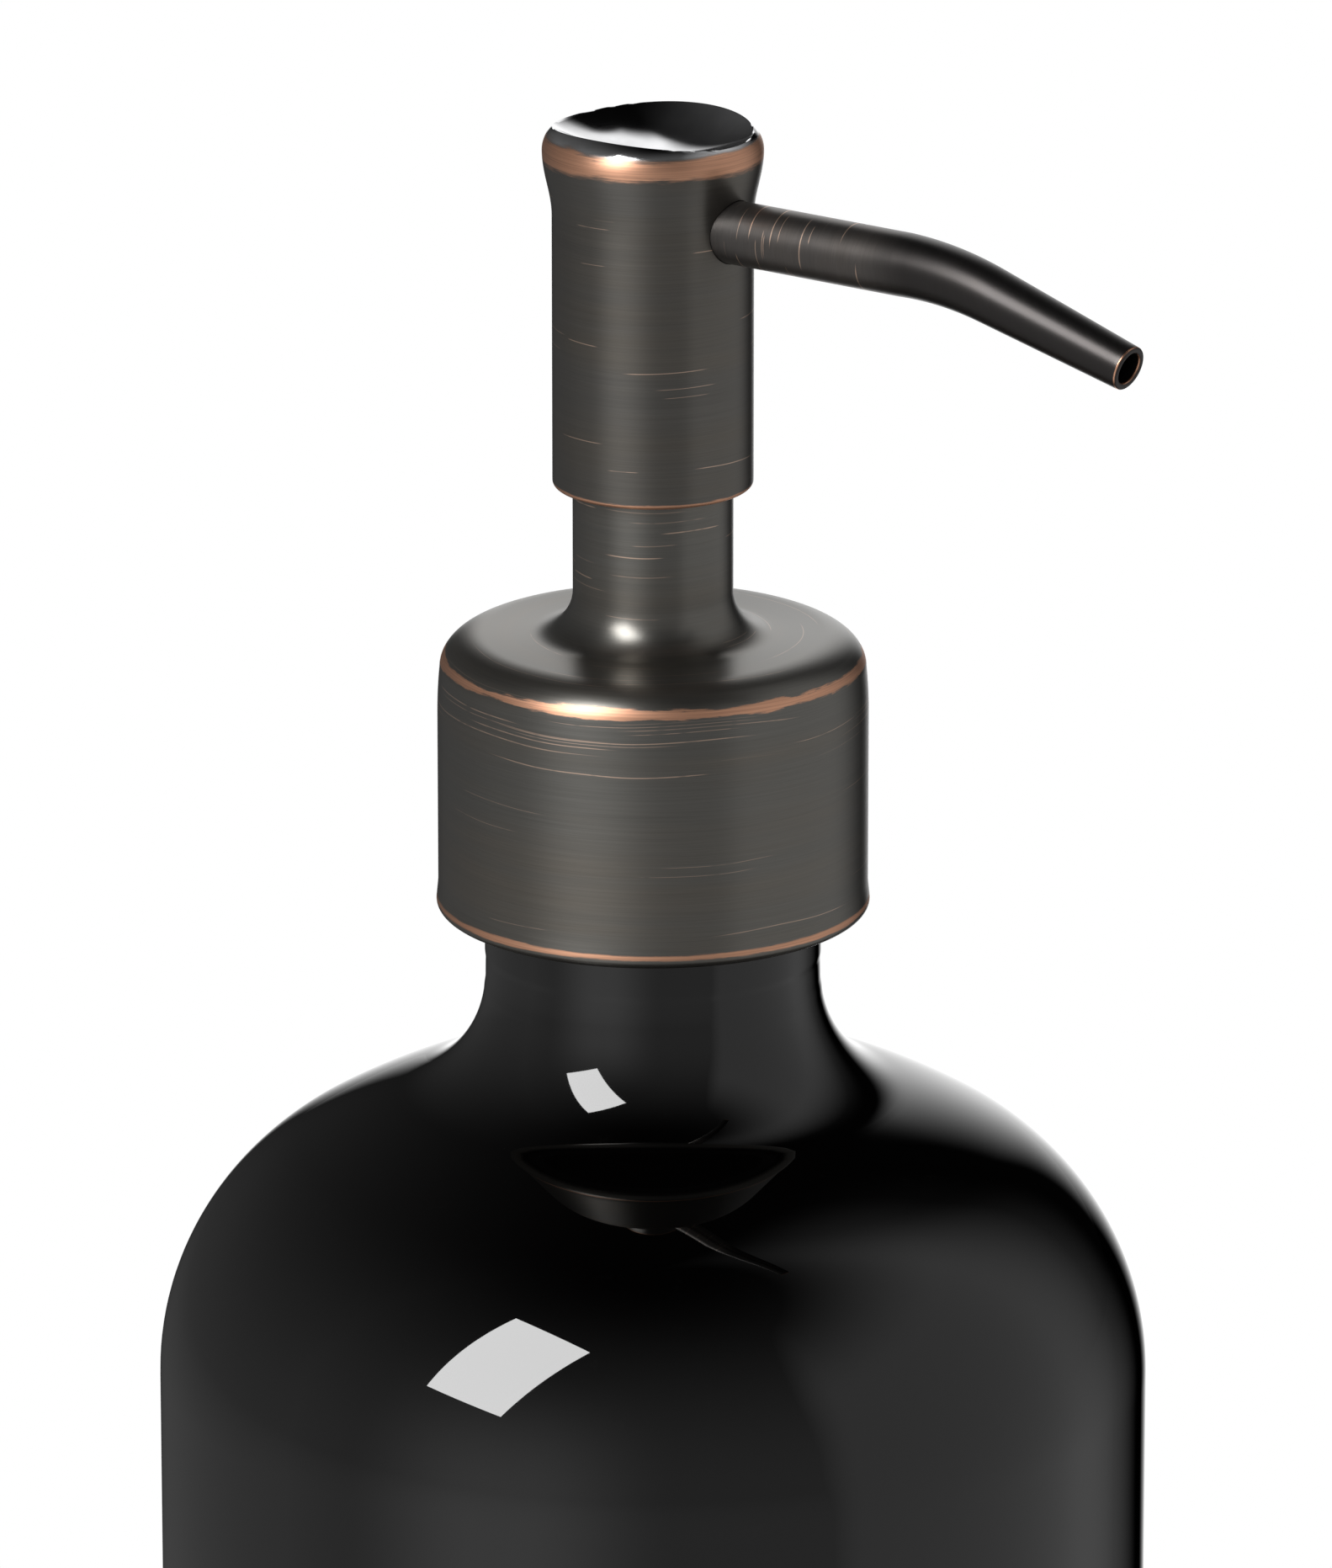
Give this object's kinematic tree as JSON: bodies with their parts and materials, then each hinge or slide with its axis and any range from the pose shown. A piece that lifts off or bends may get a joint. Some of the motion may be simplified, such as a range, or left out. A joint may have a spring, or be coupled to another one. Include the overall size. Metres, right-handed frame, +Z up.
{
  "type": "soap pump dispenser",
  "caption": "Round-shouldered glass bottle with a screw-on metal lotion pump: collar with a guide sleeve, press-down head with a thumb scoop, and a long bent spout.",
  "frame": {"origin": "centre of the bottle's flat base, on the bottle's axis", "axes": "+Z up along the bottle's axis, +X along the spout at rest, +Y to the left of the spout"},
  "size_m": [0.0812, 0.075, 0.2173],
  "materials": {
    "black_glass": "glossy opaque black glass",
    "collar_bronze": "satin oil-rubbed bronze, copper showing at the worn edges",
    "head_bronze": "satin oil-rubbed bronze with a polished scoop and a copper rim",
    "spout_bronze": "semi-gloss oil-rubbed bronze with fine ring scratches",
    "closure_plastic": "moulded polypropylene",
    "natural_plastic": "natural moulded polypropylene",
    "seal_plastic": "soft moulded polyethylene",
    "gasket_foam": "closed-cell foam",
    "spring_steel": "drawn stainless steel"
  },
  "bodies": {
    "bottle": {"bottle": "black_glass"},
    "pump": {"pump_housing": "natural_plastic", "housing_cap": "natural_plastic", "neck_gasket": "gasket_foam", "ball_retainer": "natural_plastic", "dip_tube": "natural_plastic", "return_spring": "spring_steel"},
    "collar": {"collar_shell": "collar_bronze", "collar_insert": "closure_plastic", "guide_bush": "natural_plastic"},
    "piston": {"piston_seal": "seal_plastic"},
    "head": {"piston_stem": "natural_plastic", "piston_retainer": "natural_plastic", "head_core": "natural_plastic", "head_shell": "head_bronze", "spout_tube": "spout_bronze"},
    "inlet_valve": {"inlet_ball": "spring_steel"},
    "outlet_valve": {"outlet_ball": "spring_steel"}
  },
  "joints": [
    {"name": "pump_lift", "type": "slide", "parent": "bottle", "child": "pump", "axis": [0, 0, 1], "range_m": [0, 0.00423]},
    {"name": "collar_turn", "type": "hinge", "parent": "pump", "child": "collar", "pos_m": [0, 0, 0.168], "axis": [0, 0, 1], "range_deg": [0, 360]},
    {"name": "head_press", "type": "slide", "parent": "pump", "child": "piston", "axis": [0, 0, 1], "range_m": [-0.008, 0], "stiffness_N_per_m": 700, "springref_m": 0.006, "deforming": ["return_spring"]},
    {"name": "head_swivel", "type": "hinge", "parent": "piston", "child": "head", "pos_m": [0, 0, 0.2], "axis": [0, 0, 1], "continuous": true},
    {"name": "inlet_ball_lift", "type": "slide", "parent": "pump", "child": "inlet_valve", "axis": [0, 0, 1], "range_m": [0, 0.0015]},
    {"name": "outlet_ball_lift", "type": "slide", "parent": "head", "child": "outlet_valve", "axis": [0, 0, 1], "range_m": [0, 0.0012]}
  ],
  "couplings": [
    {"joint": "collar_turn", "follows": "pump_lift", "rad_per_m": 1484.3}
  ]
}
